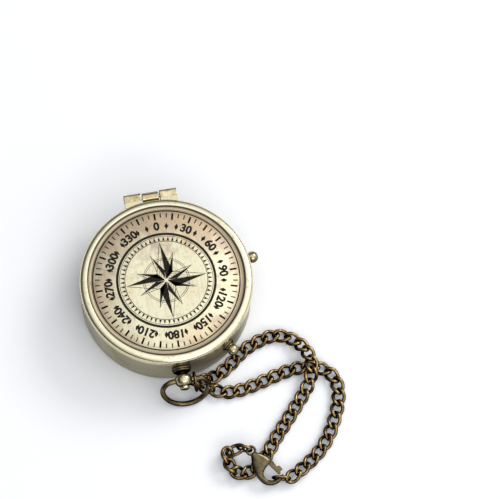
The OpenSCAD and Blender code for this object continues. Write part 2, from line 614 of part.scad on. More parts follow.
// The clasp: a flat hook with an eyelet, and a sprung lever that closes it
clasp_place = [23.15, -75.9, 6.5];
clasp_turn = -63.85;
hook_c = [12.6, 1.6];
hook_hole_c = [13.5, 1.5];
eye_c = [0.6, 0];
eye_r = 2.35;
eye_hole_r = 1.2;
eye_t = 1.4;
eye_reach = 2.9;
lever_c = [7.6, 3.4];
lever_r = 1.6;
lever_t = 1;
clasp_bore_r = 0.5;
clasp_bore = [3.6, 6.3, 1.9];
hook_link_c = [17.75, 3.9, -0.1];
hook_link_turn = 51;
hook_link_roll = 82;
pin_thin_r = 0.45;
neck_outline = [[1, -1.3], [3.5, -2.1], [8, -4.1], [12, -4.5], [12, 6], [9, 5.6], [7.2, 4.9], [4.3, 3.4],
    [2, 1.6]];
mouth_outline = [[-1, 9], [2, 2.6], [4.3, 3.4], [7.2, 4.9], [9.6, 5.3], [9.6, 2.4], [13.5, 1.5],
    [16.15, 3.35], [16.95, 9]];
slot_outline = [[7.6, 1.7], [10.5, -0.6], [12, 1], [12, 7], [7.6, 5.2]];
lever_outline = [[9.4, 2.6], [14, 3.5], [15.9, 3.75], [15.95, 4.65], [15.2, 5.1], [14.9, 6.6],
    [12.9, 6.3], [12.6, 5.1]];
module at_clasp() at_bow() translate(clasp_place) rotate([0, 0, clasp_turn]) rotate([0, clasp_tilt, 0])
    children();
module slab(t) translate([0, 0, -t / 2]) linear_extrude(t) children();
module clasp_body() color(bronze) at_clasp() difference() {
    slab(clasp_t) difference() {
        union() {
            translate(eye_c) circle(r = eye_r, $fn = 48);
            polygon(neck_outline);
            translate(hook_c) circle(r = hook_r, $fn = 96);
        }
        translate(eye_c) circle(r = eye_hole_r, $fn = 48);
        translate(hook_hole_c) circle(r = hook_hole_r, $fn = 64);
        polygon(mouth_outline);
    }
    for (s = [0, 1]) mirror([0, 0, s]) translate([-eye_r, -eye_r, eye_t / 2])
        cube([eye_r + eye_reach, 3 * eye_r, clasp_t]);
    slab(lever_t + 4 * run) union() {
        translate(lever_c) circle(r = lever_r + fit, $fn = 48);
        polygon(slot_outline);
    }
    translate(lever_c) cylinder(r = pin_thin_r, h = 2 * clasp_t, center = true, $fn = 32);
    translate([0, clasp_bore[2], 0]) rod(clasp_bore[0], clasp_bore[1] + fit, clasp_bore_r);
}
module clasp_lever() color(bronze) at_clasp() slab(lever_t) difference() {
    polygon(concat(arc(lever_c, lever_r, 90, 270, 16), lever_outline));
    translate(lever_c) circle(r = pin_thin_r + run, $fn = 32);
}
module clasp_pin() color(steel) at_clasp() translate([lever_c[0], lever_c[1], 0])
    cylinder(r = pin_thin_r, h = clasp_t + fit, center = true, $fn = 32);
module clasp_spring() color(steel) at_clasp() translate([0, clasp_bore[2], 0]) difference() {
    rod(clasp_bore[0], clasp_bore[1], clasp_bore_r - run);
    rod(clasp_bore[0] + fit, clasp_bore[1] + over, clasp_bore_r / 2);
}

// The link that holds the clasp's hook, the ring at the chain's tail, and the link to the clasp's eyelet
jump_ring_at = [16.8, -74.6, 4.8];
clasp_connector_at = [20.8, -75.1, 6.5];
module hook_link() color(bronze) at_clasp() links([heading(hook_link_c, hook_link_turn, 0, hook_link_roll)],
    join_a + run, join_b, 0, join_wire_r);
module jump_ring() color(bronze) at_bow()
    links([heading(jump_ring_at, 4, 17, -46)], ring_r, ring_r, 0, link_wire_r, ring_rings);
module clasp_connector() color(bronze) at_bow()
    links([heading(clasp_connector_at, -23, 8, 80)], join_a - join_wire_r, join_b, 0, join_wire_r);

case_bowl();
case_hinge_knuckle();
hinge_pin();
hinge_screws();
seat_ring();
dial_card();
chapter_ring();
pivot_post();
glass_gasket();
glass_crystal();
bezel_ring();
pendant_collar();
lock_bush();
anchor_stud();
detent_spring();
latch_post();
lid_rim();
lid_plate();
lid_liner();
lid_hinge_lugs();
lid_strike();
latch_leaf();
crown_knob();
crown_clip();
bow();
lock_slide();
lock_knob();
needle_lifter();
needle_blade();
needle_hub();
needle_jewel();
bow_ring();
bow_connectors();
chain_front_run();
chain_right_bend();
chain_clasp_run();
chain_back_run();
chain_crossing();
chain_inner_run();
chain_tail();
hook_link();
jump_ring();
clasp_connector();
clasp_body();
clasp_lever();
clasp_pin();
clasp_spring();
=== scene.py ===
"""Pocket compass: finishes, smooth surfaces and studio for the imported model.

Lengths are in millimetres until a mesh is made.
"""

import math

import bmesh
import bpy
import numpy as np
from mathutils import Matrix, Vector


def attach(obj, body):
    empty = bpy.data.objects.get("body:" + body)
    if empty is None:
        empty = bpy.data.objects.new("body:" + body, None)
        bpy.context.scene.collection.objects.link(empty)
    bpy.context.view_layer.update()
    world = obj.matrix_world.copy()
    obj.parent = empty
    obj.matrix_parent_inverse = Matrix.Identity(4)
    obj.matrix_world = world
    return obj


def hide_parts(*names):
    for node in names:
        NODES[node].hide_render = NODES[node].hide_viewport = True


bl_info = {
    "name": "Pocket compass",
    "version": (1, 0, 0),
    "blender": (4, 5, 0),
    "location": "3D View > Sidebar > Compass",
    "description": "Builds a lidded brass pocket compass with its chain, finishes and studio",
    "category": "Object",
}

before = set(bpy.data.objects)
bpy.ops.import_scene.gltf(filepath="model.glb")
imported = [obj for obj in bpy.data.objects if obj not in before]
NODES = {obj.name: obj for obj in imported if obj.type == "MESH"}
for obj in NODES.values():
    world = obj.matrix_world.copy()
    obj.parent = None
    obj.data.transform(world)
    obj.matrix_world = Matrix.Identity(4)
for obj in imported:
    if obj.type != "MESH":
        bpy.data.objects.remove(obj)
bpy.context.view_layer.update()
MM = 0.001


# ---------------------------------------------------------------- settings


class CompassSizes(bpy.types.PropertyGroup):
    """Measures of the smooth surfaces"""
    lid_radius: bpy.props.FloatProperty(
        name="Lid radius", description="Outer radius of the lid, mm", default=37.5)
    lid_top: bpy.props.FloatProperty(
        name="Lid top", description="Height of the bezel's crest, mm", default=25.4)
    lid_low: bpy.props.FloatProperty(
        name="Lid edge", description="Height of the lid's lower edge, mm", default=20.4)
    plate_radius: bpy.props.FloatProperty(
        name="Plate radius", description="Radius of the engraved plate, mm", default=32.5)
    plate_top: bpy.props.FloatProperty(
        name="Plate top", description="Height of the engraved plate's face, mm", default=24.8)
    line_radius: bpy.props.FloatProperty(
        name="Line radius", description="Radius of the black line near the plate's edge, mm", default=31.8)
    dial_top: bpy.props.FloatProperty(
        name="Dial top", description="Height of the dial's face, mm", default=16.6)
    link_length: bpy.props.FloatProperty(
        name="Link half length", description="Half a link along its wire's middle, mm", default=3.6)
    link_width: bpy.props.FloatProperty(
        name="Link half width", description="Half a link across its wire's middle, mm", default=2.4)
    link_twist: bpy.props.FloatProperty(
        name="Link twist", description="Turn of a link's ends, degrees", default=-48.0)
    link_pitch: bpy.props.FloatProperty(
        name="Link pitch", description="Distance from one link to the next, mm", default=5.3)
    wire_radius: bpy.props.FloatProperty(
        name="Chain wire", description="Radius of the chain's wire, mm", default=0.77)
    join_radius: bpy.props.FloatProperty(
        name="Joining wire", description="Radius of the joining links' wire, mm", default=0.6)


class CompassFinishes(bpy.types.PropertyGroup):
    """Main colours of the metals"""
    bezel: bpy.props.FloatVectorProperty(
        name="Bezel", description="Pale polished brass",
        subtype="COLOR", default=(0.86, 0.80, 0.58))
    wall: bpy.props.FloatVectorProperty(
        name="Case wall", description="Satin olive brass",
        subtype="COLOR", default=(0.385, 0.355, 0.225))
    plate_gold: bpy.props.FloatVectorProperty(
        name="Plate, golden", description="Golden patches of the plate",
        subtype="COLOR", default=(0.84, 0.79, 0.56))
    plate_grey: bpy.props.FloatVectorProperty(
        name="Plate, grey", description="Greyer patches of the plate",
        subtype="COLOR", default=(0.58, 0.475, 0.36))
    chain_dark: bpy.props.FloatVectorProperty(
        name="Chain, dark", description="Dark bronze of the chain",
        subtype="COLOR", default=(0.048, 0.027, 0.009))
    # bright gold of the chain's worn patches and of its painted highlight on the upper side
    chain_worn_and_lit: bpy.props.FloatVectorProperty(
        name="Chain, worn", description="Worn coppery edges of the chain",
        subtype="COLOR", default=(0.54, 0.38, 0.165))
    black: bpy.props.FloatVectorProperty(
        name="Engraving", description="Black filling of the engraving",
        subtype="COLOR", default=(0.018, 0.015, 0.011))


class CompassStudio(bpy.types.PropertyGroup):
    """Camera and light"""
    lens: bpy.props.FloatProperty(
        name="Lens", description="Focal length of the camera, mm", default=260.0)
    azimuth: bpy.props.FloatProperty(
        name="Azimuth", description="Camera direction round the compass, degrees", default=-14.65)
    elevation: bpy.props.FloatProperty(
        name="Elevation", description="Camera height angle, degrees", default=70.374)
    roll: bpy.props.FloatProperty(
        name="Roll", description="Camera roll, degrees", default=4.367)
    distance: bpy.props.FloatProperty(
        name="Distance", description="Camera distance from its aim, mm", default=1589.64)
    key_power: bpy.props.FloatProperty(
        name="Key light", description="Power of the large light, W", default=7.0)
    world_level: bpy.props.FloatProperty(
        name="World", description="Strength of the surroundings overhead", default=1.5)


# ---------------------------------------------------------------- meshes

# how near vertices are merged, metres: on surfaces made here, and on CAD meshes
MADE_MERGE, CAD_MERGE = 1e-7, 2e-6
# neighbouring CAD faces within this angle become one, degrees
FLAT_ANGLE = 0.2


def ring_faces(n_u, n_v, closed=True):
    """Quads between n_u rings of n_v vertices, numbered u * n_v + v.

    Closed, the last ring meets the first.
    """
    u = np.arange(n_u if closed else n_u - 1)[:, None]
    v = np.arange(n_v)[None, :]
    u2, v2 = (u + 1) % n_u, (v + 1) % n_v
    return np.stack([u * n_v + v, u2 * n_v + v, u2 * n_v + v2, u * n_v + v2], -1).reshape(-1, 4)


def join_parts(parts):
    """Several (vertices, faces) as one list of vertices and one of faces."""
    verts, faces, start = [], [], 0
    for v, f in parts:
        verts.append(np.asarray(v, float))
        faces += [[int(i) + start for i in row] for row in f]
        start += len(v)
    return np.concatenate(verts), faces


def in_scene(name, mesh, material, crease):
    """A smooth object with one material, creased where its faces meet at more than the given degrees."""
    mesh.polygons.foreach_set("use_smooth", np.ones(len(mesh.polygons), bool))
    mesh.set_sharp_from_angle(angle=math.radians(crease))
    mesh.materials.clear()
    mesh.materials.append(material)
    obj = bpy.data.objects.new(name, mesh)
    bpy.context.scene.collection.objects.link(obj)
    return obj


def piece(name, parts, body, material, replaced=(), crease=35, outward=True):
    """A mesh object from parts in mm: it rides on a body and stands for the CAD nodes in replaced.

    With outward, doubles are merged and the faces turned outwards.
    """
    verts, faces = join_parts(parts)
    mesh = bpy.data.meshes.new(name)
    mesh.from_pydata((verts * MM).tolist(), [], faces)
    mesh.update()
    if outward:
        bm = bmesh.new()
        bm.from_mesh(mesh)
        bmesh.ops.remove_doubles(bm, verts=bm.verts, dist=MADE_MERGE)
        bmesh.ops.recalc_face_normals(bm, faces=bm.faces)
        bm.to_mesh(mesh)
        bm.free()
    obj = in_scene(name, mesh, material, crease)
    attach(obj, body)
    if replaced:
        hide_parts(*replaced)


def softened(node, material, body, bevel, crease=30):
    """A merged copy of a CAD node, smooth and with edges rounded over bevel mm, which stands for the node."""
    mesh = NODES[node].data.copy()
    bm = bmesh.new()
    bm.from_mesh(mesh)
    bmesh.ops.remove_doubles(bm, verts=bm.verts, dist=CAD_MERGE)
    flat = math.radians(FLAT_ANGLE)
    bmesh.ops.dissolve_limit(bm, angle_limit=flat, verts=bm.verts, edges=bm.edges)
    bm.to_mesh(mesh)
    bm.free()
    obj = in_scene(node + "_finish", mesh, material, crease)
    if bevel:
        rounding = obj.modifiers.new("Rounded edges", "BEVEL")
        rounding.width, rounding.segments = bevel * MM, 2
        rounding.limit_method, rounding.angle_limit = "ANGLE", math.radians(crease)
        rounding.harden_normals = True
    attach(obj, body)
    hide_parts(node)


def revolve(profile, steps):
    """Surface of revolution about Z of a closed profile: (r, z) goes to (r cos t, r sin t, z)."""
    r, z = np.array(profile, float).T
    t = 2 * np.pi * np.arange(steps) / steps
    v = np.stack([np.outer(np.cos(t), r), np.outer(np.sin(t), r), np.tile(z, (steps, 1))], -1)
    return v.reshape(-1, 3), ring_faces(steps, len(r))


def oval_arc(cx, cy, rx, ry, a0, a1, n):
    """n points (cx + rx cos a, cy + ry sin a) from angle a0 to a1, degrees."""
    a = np.radians(np.linspace(a0, a1, n))
    return np.column_stack([cx + rx * np.cos(a), cy + ry * np.sin(a)]).tolist()


def prism(outline, z0, z1):
    """A flat outline (x, y) raised from z0 to z1, closed above and below."""
    o = np.array(outline, float)
    n = len(o)
    low = np.column_stack([o, np.full(n, z0)])
    high = np.column_stack([o, np.full(n, z1)])
    sides = [[i, (i + 1) % n, n + (i + 1) % n, n + i] for i in range(n)]
    return np.concatenate([low, high]), [list(range(n))[::-1], list(range(n, 2 * n))] + sides


# ---------------------------------------------------------------- chain


def curve_through(points, steps=12):
    """Catmull-Rom curve: (2b + (c-a)t + (2a-5b+4c-d)t2 + (3b-a-3c+d)t3) / 2 between b and c."""
    p = np.array(points, float)
    a, b, c, d = p[np.r_[0, 0:len(p) - 2]], p[:-1], p[1:], p[np.r_[2:len(p), len(p) - 1]]
    t = (np.arange(steps) / steps)[None, :, None]
    a, b, c, d = a[:, None], b[:, None], c[:, None], d[:, None]
    q = (2 * b + (c - a) * t + (2 * a - 5 * b + 4 * c - d) * t**2 + (3 * b - a - 3 * c + d) * t**3) / 2
    return np.concatenate([q.reshape(-1, 3), p[-1:]])


def chain_joints(route, pitch):
    """Points at even arc length along the curve, about one pitch apart, lifted clear of the floor."""
    c = curve_through(route)
    s = np.r_[0, np.cumsum(np.linalg.norm(np.diff(c, axis=0), axis=1))]
    at = np.linspace(0, s[-1], round(s[-1] / pitch) + 1)
    return np.stack([np.interp(at, s, c[:, k]) for k in range(3)], -1) + CHAIN_LIFT


def link_axes(centre, direction, roll):
    """Centre, and the axes along, across and through a link, rolled about its length by degrees."""
    x = np.array(direction, float) / np.linalg.norm(direction)
    y = np.cross([0, 0, 1.0], x)
    y /= np.linalg.norm(y)
    z = np.cross(x, y)
    c, s = math.cos(math.radians(roll)), math.sin(math.radians(roll))
    return np.array(centre, float), x, c * y + s * z, c * z - s * y


def heading(centre, turn, rise, roll):
    """Axes of a link from its direction over the table, its rise and its roll, degrees."""
    h, e = math.radians(turn), math.radians(rise)
    direction = (math.cos(e) * math.cos(h), math.cos(e) * math.sin(h), math.sin(e))
    return link_axes(centre, direction, roll)


def link_ring(axes, a, b, twist, wire, steps=30, sides=12):
    """Tube about the closed line (a cos t, b sin t cos q, b sin t sin q) with q = twist cos t.

    That is an oval whose ends twist opposite ways.
    """
    t = 2 * np.pi * np.arange(steps) / steps
    w = math.radians(twist)
    small = 0.02

    def line(u):
        q = w * np.cos(u)
        return np.stack([a * np.cos(u), b * np.sin(u) * np.cos(q), b * np.sin(u) * np.sin(q)], -1)

    m = line(t)
    d = line(t + small) - line(t - small)
    d /= np.linalg.norm(d, axis=1, keepdims=True)
    n = m - (m * d).sum(1, keepdims=True) * d
    n /= np.linalg.norm(n, axis=1, keepdims=True)
    u = np.cross(d, n)
    f = 2 * np.pi * np.arange(sides) / sides
    around = np.cos(f)[None, :, None] * n[:, None] + np.sin(f)[None, :, None] * u[:, None]
    q = (m[:, None] + wire * around).reshape(-1, 3)
    v = axes[0] + q[:, :1] * axes[1] + q[:, 1:2] * axes[2] + q[:, 2:] * axes[3]
    return v, ring_faces(steps, sides)


FRONT_ROUTE = [(12.2, -45.6, 2.9), (16.2, -47, 1.9), (19.5, -48, 1.7), (26, -47.2, 1.7), (33, -45.7, 1.7),
    (40, -43.8, 1.7), (46.5, -42.3, 1.7), (52.5, -41.8, 1.7), (58.5, -42.8, 1.7), (63.6, -45.8, 1.7),
    (66.2, -51, 1.7), (66, -57, 1.7), (64, -63, 1.7), (61, -69.5, 1.7), (57, -76, 1.7), (52.5, -81, 1.7),
    (47.7, -84.5, 1.7), (43.2, -87.7, 2.8), (37.2, -91, 3.4)]
INNER_ROUTE = [(12, -40.7, 3.3), (16.2, -38.9, 1.9), (20.6, -36.4, 1.7), (24.6, -33.2, 1.7),
    (28.7, -29.9, 1.7), (33, -28, 1.7), (38.5, -26, 1.7), (44, -25.5, 1.7), (49.5, -27.6, 1.9),
    (53.6, -32, 3.4), (56, -37, 5.4), (56.8, -42.5, 5.6), (55.2, -48, 4), (51.8, -53, 2.2),
    (47.4, -58, 1.7), (43, -63, 1.7), (38.5, -68, 1.7), (34.4, -72.6, 1.7), (31, -77.2, 1.7),
    (27.5, -81.3, 1.7), (23.5, -83.8, 1.7), (20.6, -84.4, 1.9), (16.1, -85.4, 3.1), (12.5, -77.5, 4.2),
    (13.5, -73.9, 4.8)]
# each stretch of curb links: its route, its first link and the link after its last
CURB_NODES = {
    "chain_front_run": (FRONT_ROUTE, 0, 9),
    "chain_right_bend": (FRONT_ROUTE, 9, 13),
    "chain_clasp_run": (FRONT_ROUTE, 13, None),
    "chain_inner_run": (INNER_ROUTE, 0, 7),
    "chain_crossing": (INNER_ROUTE, 7, 13),
    "chain_back_run": (INNER_ROUTE, 13, 19),
    "chain_tail": (INNER_ROUTE, 19, None),
}
CHAIN_LIFT = (0, 0, 0.06)
# degrees, link by link, so that the small loop's links clear one another
TAIL_ROLL = (0, 0, 0, -16, 0, 30, 30)
# centre, turn, rise and roll of the plain links and rings
CONNECTORS = [((5.9, -44, 7.13), 0, -57, 120), ((9.8, -44.93, 4.36), -20, -30, 50),
    ((6, -41.2, 7.23), 30, -50, 135), ((9.9, -40.7, 4.33), -5, -38, 45)]
BOW_RING = (4.9, -43.5, 12.28), 90, 0, 90
JUMP_RING = (16.8, -74.6, 4.83), 4, 17, -46
CLASP_CONNECTOR = (20.8, -75.1, 6.53), -23, 8, 80
HOOK_LINK = (17.75, 3.9, -0.1), 51, 0, 82  # in the clasp's own axes
# half lengths and half width of the plain links
JOIN_LENGTH, CLASP_LINK_LENGTH, HOOK_LINK_LENGTH, JOIN_WIDTH = 3.65, 3.05, 3.7, 2.25
RING_RADIUS, RING_STEPS = 3.9, 64
# where the clasp's tail lies, and its turn and tilt in degrees
CLASP_AT, CLASP_TURN, CLASP_TILT = (23.15, -75.9, 6.53), -63.85, 11.0


def clasp_matrix():
    """Clasp axes to compass axes, in mm."""
    turn = Matrix.Rotation(math.radians(CLASP_TURN), 4, "Z")
    tilt = Matrix.Rotation(math.radians(CLASP_TILT), 4, "Y")
    return np.array(Matrix.Translation(CLASP_AT) @ turn @ tilt)


def at_clasp(points):
    """Points in the clasp's own axes, moved to where the clasp lies."""
    m = clasp_matrix()
    return np.asarray(points, float) @ m[:3, :3].T + m[:3, 3]


# matched points of the clasp's outer and inner edge, and how deep the lever's slot is cut there
CLASP_OUTER = [(1.6, -0.5), (2.2, -1.2), (3.5, -2.0), (5.2, -3.0), (6.6, -3.6), (8, -4.1), (9.6, -4.4),
    (12.2, -4.6), (15.6, -3.8), (18, -1.4), (18.75, 2), (17.6, 5.0), (16.9, 5.5)]
CLASP_INNER = [(1.6, 0.5), (2.6, 1.6), (4.3, 3.2), (7.0, 4.7), (9.2, 4.9), (9.9, 3.4), (10.2, 1.6),
    (11.6, -1.2), (14.2, -1.7), (16.2, 0), (16.7, 2), (16.3, 3.5), (16.5, 4.4)]
CLASP_SLOT = [0, 0, 0, 3.1, 3.4, 2.2, 0.7, 0, 0, 0, 0, 0, 0]
CLASP_HALF_HEIGHT, SLOT_HALF_HEIGHT = 1.15, 0.6
# the ring at the clasp's tail: its place along the clasp, and its section's half width and height
EYE_AT, EYE_RADIUS, EYE_WIRE, EYE_HALF_HEIGHT = 0.6, 1.775, 0.57, 0.68


def clasp_form(stations=8, sides=14):
    """Body of the clasp: between matched points of its outer and inner edge, a rounded section.

    With c the middle, w the width and h the half height there, the section is
    c + w/2 sign(cos f) |cos f|^0.9 across and h sign(sin f) |sin f|^1.1 up, up to 1.4 times
    as high above where it is wide, and cut in from its inner edge by a slot for the lever.
    """
    power, ridge = 0.9, 1.1
    blunt = 0.9 * stations
    domed, full_width, deepest = 0.4, 7, 0.8
    both = np.column_stack([CLASP_OUTER, CLASP_INNER, CLASP_SLOT])
    left = curve_through([(*row[:2], row[4]) for row in both], stations)
    right = curve_through([(*row[2:4], 0) for row in both], stations)
    n = len(left)
    end = np.minimum(np.arange(n), n - 1 - np.arange(n)) / blunt
    high = CLASP_HALF_HEIGHT * np.sqrt(1 - (1 - np.clip(end, 0.04, 1)) ** 2)
    wide = np.linalg.norm(left[:, :2] - right[:, :2], axis=1)
    gap = np.minimum(SLOT_HALF_HEIGHT, 0.5 * high)
    first = np.arcsin(np.clip(gap / high, 0, 1) ** (1 / ridge))
    part = np.linspace(0, 1, 2 * sides)[None, :]
    f = (np.pi - first)[:, None] - (2 * np.pi - 2 * first)[:, None] * part
    across = 0.5 + 0.5 * np.sign(np.cos(f)) * np.abs(np.cos(f)) ** power
    up = high[:, None] * np.sign(np.sin(f)) * np.abs(np.sin(f)) ** ridge
    up *= np.where(up > 0, 1 + domed * np.clip(wide / full_width, 0, 1)[:, None], 1)
    deep = np.clip(left[:, 2] / np.maximum(wide, 0.1), 0, deepest)
    deep = np.maximum(deep, across[:, 0])
    across = np.column_stack([across, deep, deep])
    up = np.column_stack([up, -gap, gap])
    m = across.shape[1]
    flat = right[:, None, :2] + across[..., None] * (left[:, None, :2] - right[:, None, :2])
    v = np.concatenate([flat, up[..., None]], -1).reshape(-1, 3)
    caps = [list(range(m)), list(range((n - 1) * m, n * m))[::-1]]
    return v, ring_faces(n, m, closed=False).tolist() + caps


def clasp_eye(steps=40, sides=12):
    """Ring at the clasp's tail: (x0 + R cos t, R sin t, h sin f) with R = r + w cos f."""
    t = 2 * np.pi * np.arange(steps)[:, None] / steps
    f = 2 * np.pi * np.arange(sides)[None, :] / sides
    r = EYE_RADIUS + EYE_WIRE * np.cos(f)
    v = np.stack([EYE_AT + r * np.cos(t), r * np.sin(t), EYE_HALF_HEIGHT * np.sin(f) + 0 * t], -1)
    return v.reshape(-1, 3), ring_faces(steps, sides)


# ---------------------------------------------------------------- materials


def shader(name):
    """A new material and its tree, cleared but for the surface shader and output."""
    mat = bpy.data.materials.new(name)
    mat.use_nodes = True
    tree = mat.node_tree
    tree.nodes.clear()
    out = tree.nodes.new("ShaderNodeOutputMaterial")
    bsdf = tree.nodes.new("ShaderNodeBsdfPrincipled")
    tree.links.new(bsdf.outputs["BSDF"], out.inputs["Surface"])
    return mat, tree, bsdf


def add(tree, kind, inputs=None, **settings):
    """A node with its settings and inputs: a socket value is a link, anything else a constant."""
    node = tree.nodes.new("ShaderNode" + kind)
    for key, value in settings.items():
        setattr(node, key, value)
    for key, value in (inputs or {}).items():
        socket = node.inputs[key]
        if isinstance(value, bpy.types.NodeSocket):
            tree.links.new(value, socket)
        else:
            socket.default_value = value
    return node


def noise(tree, scale, detail=4.0, rough=0.55, stretch=None, distortion=0.0):
    """Noise on object coordinates: scale is in waves per metre."""
    co = add(tree, "TexCoord").outputs["Object"]
    if stretch:
        co = add(tree, "Mapping", {"Vector": co, "Scale": stretch}).outputs["Vector"]
    inputs = {"Vector": co, "Scale": scale, "Detail": detail, "Roughness": rough, "Distortion": distortion}
    return add(tree, "TexNoise", inputs).outputs["Fac"]


def ramp(tree, fac, stops):
    """Colour ramp through (position, colour) stops, in rising order."""
    node = add(tree, "ValToRGB", {"Fac": fac})
    elements = node.color_ramp.elements
    while len(elements) < len(stops):
        elements.new(0.5)
    for element, (position, colour) in zip(elements, stops):
        element.position = position
        element.color = rgba(colour)
    return node.outputs["Color"]


def rgba(colour):
    """A colour's three values with full opacity, or a socket as it is."""
    return colour if isinstance(colour, bpy.types.NodeSocket) else (*colour, 1.0)


def mix(tree, fac, a, b):
    """Mix of two colours: the node's inputs 0, 6 and 7 are its factor and its colours, output 2 the mix."""
    return add(tree, "Mix", {0: fac, 6: rgba(a), 7: rgba(b)}, data_type="RGBA").outputs[2]


def spread(tree, fac, low, high, from_low=0.3, from_high=0.7):
    """A value stretched from one range to the range low to high, and held there."""
    inputs = {"Value": fac, "From Min": from_low, "From Max": from_high, "To Min": low, "To Max": high}
    return add(tree, "MapRange", inputs).outputs["Result"]


def total(tree, a, b):
    """Sum of two values."""
    return add(tree, "Math", {0: a, 1: b}, operation="ADD").outputs[0]


def along(tree, vector, direction):
    """How far a vector reaches in a direction."""
    dot = add(tree, "VectorMath", {0: vector, 1: direction}, operation="DOT_PRODUCT")
    return dot.outputs["Value"]


def bumped(tree, bsdf, height, distance):
    """Fine relief, up to the given distance in metres."""
    node = add(tree, "Bump", {"Height": height, "Distance": distance, "Strength": 1.0})
    tree.links.new(node.outputs["Normal"], bsdf.inputs["Normal"])


def painted_side_shade(tree, bsdf, colour, dark, bright_from=0.75):
    """Base colour of a metal with painted shade: full colour where it faces up, darkened towards the dark
    tone on its sides and below.
    """
    normal = add(tree, "TexCoord").outputs["Normal"]
    upward = add(tree, "SeparateXYZ", {"Vector": normal}).outputs["Z"]
    # painted shade: the colour darkens as the surface turns away from straight up
    side_shade_mask = spread(tree, upward, 1.0, 0.0, 0.0, bright_from)
    tree.links.new(mix(tree, side_shade_mask, colour, dark), bsdf.inputs["Base Color"])
    bsdf.inputs["Specular Tint"].default_value = rgba(0.02 + 3.0 * c for c in dark)


def metal(name, light, dark, rough, patch, dent=2e-5, worn=True):
    """Metal that drifts in soft patches between two tones, with fine scratches in its surface; with worn set,
    painted shade darkens its sides and below towards 0.16 of its dark tone.
    """
    mat, tree, bsdf = shader(name)
    soft = noise(tree, patch, 5.0, 0.6, distortion=0.6)
    fine = noise(tree, 2600.0, 3.0, 0.6)
    colour = mix(tree, spread(tree, soft, 0.0, 1.0, 0.35, 0.68), light, dark)
    # with worn set, the base colour gets painted shade on its sides and below
    if worn:
        painted_side_shade(tree, bsdf, colour, tuple(0.16 * c for c in dark))
    else:
        tree.links.new(colour, bsdf.inputs["Base Color"])
    bsdf.inputs["Metallic"].default_value = 1.0
    dull = spread(tree, total(tree, soft, fine), *rough, 0.7, 1.3)
    tree.links.new(dull, bsdf.inputs["Roughness"])
    bumped(tree, bsdf, fine, dent)
    return mat


def radius_socket(tree):
    """Distance from the compass axis, in metres."""
    co = add(tree, "TexCoord").outputs["Object"]
    flat = add(tree, "VectorMath", {0: co, 1: (1.0, 1.0, 0.0)}, operation="MULTIPLY")
    length = add(tree, "VectorMath", {0: flat.outputs["Vector"]}, operation="LENGTH")
    return length.outputs["Value"]


def bezel_metal(f):
    """Pale polished brass, darker across the bevel towards the crest's foot, a little darker and more golden
    on the outer shoulder, with thin dark drifts.
    """
    mat, tree, bsdf = shader("bezel brass")
    r = radius_socket(tree)
    pale, dark = tuple(f.bezel), (0.07, 0.055, 0.03)
    bevel, shade, edge = (0.62, 0.53, 0.38), (0.48, 0.40, 0.28), (0.74, 0.67, 0.42)
    inner, outer = 31.0, 38.0
    # tones by radius: darker from the bevel to the crest's foot at 33.8 to 34.15 mm, pale crest, a little
    # darker outer shoulder
    rings = [(32.4, bevel), (33.2, shade), (33.8, dark), (34.15, dark), (34.5, pale), (35.9, pale),
        (37.0, edge), (37.5, edge)]
    place = spread(tree, r, 0.0, 1.0, inner * MM, outer * MM)
    ring_tone = ramp(tree, place, [((at - inner) / (outer - inner), colour) for at, colour in rings])
    drift = noise(tree, 120.0, 6.0, 0.65, distortion=1.2)
    worn = mix(tree, spread(tree, drift, 0.0, 0.55, 0.56, 0.74), ring_tone, (0.30, 0.25, 0.14))
    tree.links.new(worn, bsdf.inputs["Base Color"])
    bsdf.inputs["Metallic"].default_value = 1.0
    dull = spread(tree, r, 0.3, 0.0, 0.0340, 0.0344)
    smooth = spread(tree, drift, 0.12, 0.26)
    tree.links.new(total(tree, dull, smooth), bsdf.inputs["Roughness"])
    bumped(tree, bsdf, noise(tree, 420.0, 4.0, 0.6), 4e-5)
    return mat


def plate_metal(f):
    """Dull patina in golden and grey patches, turned greyer towards the back by a painted reflection, darker
    in small flecks and towards the rim.
    """
    mat, tree, bsdf = shader("plate patina")
    co = add(tree, "TexCoord").outputs["Object"]
    # painted reflection: a straight slope across the plate, more golden at the front, greyer at the back
    painted_reflection_slope = along(tree, co, (1.6, 4.5, 0.0))
    r = radius_socket(tree)
    rim = spread(tree, r, 0.0, 0.15, 0.020, 0.032)
    broad = total(tree, total(tree, noise(tree, 62.0, 5.0, 0.66, distortion=1.4), painted_reflection_slope), rim)
    grey = spread(tree, broad, 0.0, 1.0, 0.50, 0.70)
    colour = mix(tree, grey, tuple(f.plate_gold), tuple(f.plate_grey))
    peach = total(tree, noise(tree, 48.0, 4.0, 0.6, distortion=0.8), rim)
    colour = mix(tree, spread(tree, peach, 0.0, 0.65, 0.50, 0.74), colour, (0.70, 0.52, 0.30))
    streak = noise(tree, 1400.0, 3.0, 0.6, stretch=(1.0, 0.05, 1.0))
    colour = mix(tree, spread(tree, streak, 0.0, 0.25, 0.48, 0.70), colour, (0.40, 0.33, 0.22))
    fleck = noise(tree, 520.0, 6.0, 0.72)
    colour = mix(tree, spread(tree, fleck, 0.0, 0.5, 0.55, 0.75), colour, (0.17, 0.13, 0.08))
    edge = spread(tree, r, 0.0, 0.55, 0.0295, 0.0325)
    colour = mix(tree, edge, colour, (0.20, 0.16, 0.09))
    tree.links.new(colour, bsdf.inputs["Base Color"])
    bsdf.inputs["Metallic"].default_value = 0.7
    tree.links.new(spread(tree, broad, 0.42, 0.54), bsdf.inputs["Roughness"])
    brush = noise(tree, 700.0, 3.0, 0.6, stretch=(3.0, 0.25, 1.0))
    bumped(tree, bsdf, brush, 3e-5)
    return mat


